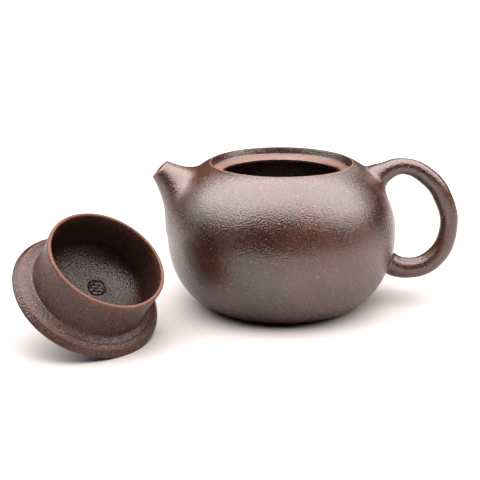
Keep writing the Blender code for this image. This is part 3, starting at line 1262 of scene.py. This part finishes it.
@dataclass
class Lid:
    """The lid, turned as one: flange, ridge, deep skirt, bowl and shallow dome, and its knob."""

    tilt: float = 37.0
    heading: float = -41.2
    place: Point2 = (-69.9, -41.45)
    flange_radius: float = 27.15
    ridge_radius: float = 25.35
    ridge_height: float = 2.2
    root_radius: float = 21.3
    root_height: float = 3.7
    skirt_radius: float = 21.3
    skirt_height: float = 19.85
    waist_radius: float = 20.75
    wall: float = 1.5
    dome_height: float = 5.2
    floor: float = -2.0
    bowl_radius: float = 18.6
    bowl_depth: float = 9.5
    stamp_reach: float = 10.5
    vent_radius: float = 1.2
    knob_radius: float = 6.8
    neck_radius: float = 4.0
    steps: int = 216
    side: float = 0.35
    stamp_side: float = 0.17

    def axis(self) -> Matrix:
        """The lid's own axes, in millimetres: +Z points out of the skirt."""
        tilt, heading = math.radians(self.tilt), math.radians(self.heading)
        height = self.flange_radius * math.sin(tilt)
        place = Matrix.Translation((*self.place, height))
        return place @ Matrix.Rotation(heading, 4, "Z") @ Matrix.Rotation(tilt, 4, "Y")

    def build_shell(self, stamp: Stamp) -> bpy.types.Object:
        """Turn the lid's shell and press the stamp into its floor.

        Args:
            stamp: The stamp.

        Returns:
            The shell.
        """
        inner = self.skirt_radius - self.wall
        dome = [(self.flange_radius * math.cos(a) ** 0.8, -self.dome_height * math.sin(a) ** 1.35)
                for a in spaced(math.radians(3), math.radians(84), 30)]
        bowl = [(self.bowl_radius * math.sin(a), self.floor + self.bowl_depth * (1 - math.cos(a)))
                for a in spaced(math.radians(4), math.radians(88), 30)]
        # Known fault, left as it is: densify closes the open stretch it is given here, so the
        # floor inside stamp_reach is three surfaces, one over the other, and not one.
        stamped = [place for place in bowl if place[0] < self.stamp_reach]
        bowl = densify(stamped, self.stamp_side) + bowl[len(stamped):]
        corners = [
            (self.skirt_radius - 0.1, self.skirt_height, 0.75),
            (self.skirt_radius - 0.02, self.skirt_height - 1.9, 0.9),
            (self.waist_radius, 13.0, 3.0),
            (self.waist_radius + 0.05, 7.0, 3.0),
            (self.root_radius - 0.15, self.root_height + 0.05, 0.55),
            (23.4, self.root_height - 0.55, 0.3),
            (23.7, self.root_height - 0.85, 0.3),
            (self.ridge_radius, self.ridge_height, 0.4),
            (self.flange_radius - 0.25, 0.35, 0.35),
            *((radius, height, 0.0) for radius, height in dome),
            (self.vent_radius, -self.dome_height, 0.0),
            (self.vent_radius, self.floor, 0.3),
            *((radius, height, 0.0) for radius, height in bowl),
            (inner - 0.5, 12.0, 3.0),
            (inner, self.skirt_height - 1.4, 0.9),
            (self.skirt_radius - 1.25, self.skirt_height, 0.5),
        ]
        outline = densify(rounded(corners, 6), self.side)
        mesh = turned_mesh("lid_shell", outline, self.steps)
        self._stamp_floor(mesh, stamp)
        self._hand_marks(mesh)
        mesh.transform(self._metre_axis())
        shell = add_object("lid_shell", mesh)
        smooth(shell, 50.0)
        return shell

    def build_knob(self) -> bpy.types.Object:
        """Turn the knob, with a soft neck that spreads onto the dome.

        Returns:
            The knob.
        """
        tilt = math.radians(self.tilt)
        reach = self.flange_radius * math.tan(tilt) - self.knob_radius / math.cos(tilt)
        first = math.pi - math.asin(self.neck_radius / self.knob_radius) - 0.12
        last = math.asin(self.vent_radius / self.knob_radius)
        ball = [(self.knob_radius * math.sin(a), -reach - self.knob_radius * math.cos(a), 0.0)
                for a in spaced(first, last, 28)]
        top = -self.dome_height + 0.12
        corners = [(self.vent_radius, top, 0.0), (self.neck_radius + 1.1, top, 0.0),
                   (self.neck_radius + 0.1, top - 0.8, 0.7), *ball]
        mesh = turned_mesh("lid_knob_round", densify(rounded(corners), 0.5), 96)
        mesh.transform(self._metre_axis())
        knob = add_object("lid_knob_round", mesh)
        smooth(knob, 50.0)
        return knob

    def _metre_axis(self) -> Matrix:
        """The lid's axes with their origin in metres."""
        place = self.axis()
        place.translation = place.translation * MM
        return place

    def _stamp_floor(self, mesh: bpy.types.Mesh, stamp: Stamp) -> None:
        """Press the stamp into the floor, and store painted shade for its grooves and the bowl's
        hollow on the points.

        Args:
            mesh: The lid's mesh, on its own axes.
            stamp: The stamp.
        """
        places = np.empty(len(mesh.vertices) * 3)
        mesh.vertices.foreach_get("co", places)
        places = places.reshape(-1, 3)
        x, y, z = (places / MM).T
        on_floor = (z > self.floor - 0.6) & (z < self.floor + 2.5) & (np.hypot(x, y) < 14.0)
        depth = stamp.press(x, y) * on_floor
        # Painted shade: the bowl's inside, away from the skirt's rim, and the stamp's grooves are
        # stored as 'shade', which darkens the clay's colour.
        in_bowl = (z > self.floor - 0.7) & (np.hypot(x, y) < self.skirt_radius - self.wall + 0.3)
        painted_bowl_shade = 0.6 * in_bowl * np.clip((self.skirt_height - 1.0 - z) / 2.5, 0.0, 1.0)
        places[:, 2] -= depth * stamp.depth * MM
        mesh.vertices.foreach_set("co", places.ravel())
        shade = np.maximum(depth, painted_bowl_shade)
        mesh.attributes.new("shade", "FLOAT", "POINT").data.foreach_set("value", shade)

    def _hand_marks(self, mesh: bpy.types.Mesh) -> None:
        """Make the turned shape slightly uneven, as hand-finished clay is.

        Args:
            mesh: The lid's mesh, on its own axes.
        """
        places = np.empty(len(mesh.vertices) * 3)
        mesh.vertices.foreach_get("co", places)
        places = places.reshape(-1, 3)
        x, y, z = (places / MM).T
        turn = np.arctan2(y, x)
        sway = 0.05 * np.sin(2 * turn + 0.6) + 0.035 * np.sin(3 * turn + z * 0.25 + 2.0)
        sway += 0.02 * np.sin(7 * turn - z * 0.5)
        radius = np.maximum(np.hypot(x, y), 0.01)
        fade = np.clip((radius - 15.0) / 5.0, 0.0, 1.0) * np.clip(z / 4.0, 0.0, 1.0)
        places[:, :2] *= (1.0 + sway * fade / radius)[:, None]
        mesh.vertices.foreach_set("co", places.ravel())


# ---------------------------------------------------------------------------------------------
# The studio
# ---------------------------------------------------------------------------------------------


@dataclass(frozen=True)
class SoftBox:
    """A soft rectangular light that faces a point."""

    name: str
    place: tuple[float, float, float]
    aim: tuple[float, float, float]
    size: Point2
    power: float
    colour: Colour = (1.0, 1.0, 1.0)

    def build(self) -> bpy.types.Object:
        """Hang the light."""
        light = bpy.data.lights.new(self.name, "AREA")
        light.shape = "RECTANGLE"
        light.size, light.size_y = self.size
        light.energy = self.power
        light.color = self.colour
        lamp = bpy.data.objects.new(self.name, light)
        lamp.location = self.place
        gaze = Vector(self.aim) - Vector(self.place)
        lamp.rotation_euler = gaze.to_track_quat("-Z", "Y").to_euler()
        bpy.context.scene.collection.objects.link(lamp)
        return lamp


@dataclass
class Studio:
    """Pale floor, soft light and the camera."""

    eye: tuple[float, float, float] = (-0.015714, -0.383540, 0.137892)
    pitch: float = -16.522
    heading: float = 0.02
    roll: float = -0.105
    lens: float = 77.085
    floor_size: float = 6.0

    def build(self) -> None:
        """Set up floor, world, lights and camera."""
        self._floor()
        self._world()
        lights = (
            SoftBox("top_box", (0.45, -0.045, 0.80), (0.45, -0.045, 0.0), (3.6, 1.31), 64.5,
                    (1.0, 0.91, 0.885)),
            SoftBox("left_box", (-0.78, 0.22, 0.40), (0.0, 0.0, 0.03), (0.5, 0.4), 1.0),
            SoftBox("back_box", (0.25, 0.75, 0.48), (0.0, 0.0, 0.03), (0.5, 0.4), 0.8),
        )
        for light in lights:
            light.build()
        self._camera()

    def _floor(self) -> None:
        """Lay a wide, plain, pale floor."""
        half = self.floor_size / 2
        mesh = bpy.data.meshes.new("floor")
        corners = [(-half, -half, 0.0), (half, -half, 0.0), (half, half, 0.0), (-half, half, 0.0)]
        mesh.from_pydata([(x, y, -0.00005) for x, y, _ in corners], [], [(0, 1, 2, 3)])
        floor = add_object("floor", mesh)
        material = bpy.data.materials.new("floor_white")
        material.use_nodes = True
        tree = material.node_tree
        shader = tree.nodes["Principled BSDF"]
        place = add_node(tree, "ShaderNodeTexCoord").outputs["Object"]
        cloud = noise(tree, place, 3.0, 2.0).spread(0.2, 0.8)
        tree.links.new(blend_colour(tree, cloud, (0.53, 0.53, 0.53), (0.55, 0.55, 0.55)),
                       shader.inputs["Base Color"])
        shader.inputs["Roughness"].default_value = 0.9
        shader.inputs["Specular IOR Level"].default_value = 0.1
        x, y, _ = split(tree, place)
        away = (x * x + y * y).apply("SQRT").spread(0.2, 0.6)
        seen = add_node(tree, "ShaderNodeLightPath").outputs["Is Camera Ray"]
        glow = add_node(tree, "ShaderNodeEmission", {"Color": (1.0, 1.0, 1.0, 1.0), "Strength": 1.2})
        mix = add_node(tree, "ShaderNodeMixShader", {0: away * Value(tree, seen)})
        tree.links.new(shader.outputs[0], mix.inputs[1])
        tree.links.new(glow.outputs[0], mix.inputs[2])
        tree.links.new(mix.outputs[0], tree.nodes["Material Output"].inputs["Surface"])
        mesh.materials.append(material)

    def _world(self) -> None:
        """Fill the room with even, pale light."""
        world = bpy.data.worlds.new("room")
        bpy.context.scene.world = world
        world.use_nodes = True
        tree = world.node_tree
        tree.nodes.clear()
        seen = add_node(tree, "ShaderNodeBackground", {"Color": (1.0, 1.0, 1.0, 1.0), "Strength": 1.2})
        lit = add_node(tree, "ShaderNodeBackground", {"Color": (1.0, 1.0, 1.0, 1.0), "Strength": 0.03})
        ray = add_node(tree, "ShaderNodeLightPath")
        mix = add_node(tree, "ShaderNodeMixShader", {0: ray.outputs["Is Camera Ray"]})
        tree.links.new(lit.outputs[0], mix.inputs[1])
        tree.links.new(seen.outputs[0], mix.inputs[2])
        add_node(tree, "ShaderNodeOutputWorld", {"Surface": mix.outputs[0]})

    def _camera(self) -> None:
        """Place the camera."""
        camera = bpy.data.cameras.new("camera")
        camera.lens = self.lens
        camera.sensor_width = 36.0
        camera.clip_start = 0.01
        camera.clip_end = 20.0
        holder = bpy.data.objects.new("camera", camera)
        holder.location = self.eye
        turn = Matrix.Rotation(math.radians(self.heading), 4, "Z")
        turn = turn @ Matrix.Rotation(math.radians(90.0 + self.pitch), 4, "X")
        holder.rotation_euler = (turn @ Matrix.Rotation(math.radians(self.roll), 4, "Z")).to_euler()
        bpy.context.scene.collection.objects.link(holder)
        bpy.context.scene.camera = holder
        view = bpy.context.scene.view_settings
        view.view_transform = "Standard"
        view.look = "Medium High Contrast"


# ---------------------------------------------------------------------------------------------
# Finishes and assembly
# ---------------------------------------------------------------------------------------------


@dataclass(frozen=True)
class Finishes:
    """Every finish that the teapot is dressed in."""

    vessel: ClayFinish
    strainer: ClayFinish
    lid: ClayFinish
    knob: ClayFinish

    @classmethod
    def plan(cls, vessel: Vessel, lid: Lid) -> "Finishes":
        """Choose the finishes for a vessel and a lid.

        Args:
            vessel: Gives the edges painted pale: rubbed wear, and painted highlight on the lid seat
                and rim.
            lid: Gives the same for the lid.

        Returns:
            The finishes.
        """
        top = vessel.rim_height
        # Painted highlight: the seat ring paints the upward-facing lid seat pale; the rim ring is
        # partly wear, partly painted highlight.
        vessel_rings = (WornAndLitRing(vessel.rim_radius - 0.15, top, 0.5),
                        WornAndLitRing((vessel.recess_radius + vessel.neck_radius) / 2, top - 3.4, 2.1))
        lid_rings = (WornAndLitRing(lid.skirt_radius - 0.65, lid.skirt_height, 1.0),
                     WornAndLitRing(lid.ridge_radius, lid.ridge_height, 0.4, 0.6))
        dark, middle, light = (0.020, 0.0070, 0.0045), (0.029, 0.0108, 0.0074), (0.066, 0.030, 0.022)
        return cls(
            vessel=ClayFinish("vessel_clay", dark, middle, light, (0.18, 0.25),
                              warm_side=(30.0, 56.0), rings=vessel_rings,
                              tip=TipWear(vessel.spout_tip, vessel.spout_out, 0.5)),
            strainer=ClayFinish("strainer_clay", (0.06, 0.035, 0.03), (0.10, 0.06, 0.05),
                                (0.2, 0.13, 0.11), (0.6, 0.75)),
            lid=ClayFinish("lid_clay", (0.026, 0.0096, 0.0064), (0.041, 0.0163, 0.0116),
                           (0.088, 0.043, 0.032), (0.25, 0.35), specular=0.36,
                           worn_and_lit=(0.150, 0.062, 0.034), ochre=0.62, pits=0.4, peel=1.4, grit=0.3,
                           relief=0.17, rings=lid_rings, axis=lid.axis(), shaded=True),
            knob=ClayFinish("knob_clay", dark, middle, light, (0.34, 0.42)),
        )


def finish_piece(piece: bpy.types.Object, clay: bpy.types.Material, body: Body, slot: str,
                 *nodes: str) -> None:
    """Dress a piece, let it ride on its body and stand for its solids.

    Args:
        piece: The piece.
        clay: Its material.
        body: The body it moves with.
        slot: A material slot name; not used.
        nodes: The solids that it stands for.
    """
    piece.data.materials.clear()
    piece.data.materials.append(clay)
    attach(piece, body.value)
    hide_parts(*nodes)
    LOG.info("%s: %d faces, rides on %s", piece.name, len(piece.data.polygons), body.value)


def main() -> None:
    """Build the teapot and its studio."""
    logging.basicConfig(level=logging.INFO, format="%(message)s")
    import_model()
    kit = ShaderKit.build()
    vessel, lid = Vessel(), Lid()
    strainer = Strainer(axis=vessel.spout_axis())
    finishes = Finishes.plan(vessel, lid)

    vessel_clay = finishes.vessel.build(kit)
    finish_piece(vessel.build(vessel_clay), vessel_clay, Body.POT, "belly_clay",
                 "belly", "mouth_ring", "spout", "handle", "base_disc")
    strainer_clay = finishes.strainer.build(kit)
    finish_piece(strainer.build(strainer_clay), strainer_clay, Body.POT, "strainer_clay",
                 "strainer")
    shell = lid.build_shell(Stamp(centre=(-2.0, 6.5)))
    finish_piece(shell, finishes.lid.build(kit), Body.LID, "lid_skirt_clay",
                 "lid_disc", "lid_skirt")
    finish_piece(lid.build_knob(), finishes.knob.build(kit), Body.LID, "lid_knob_clay", "lid_knob")
    Studio().build()


if __name__ == "__main__":
    main()
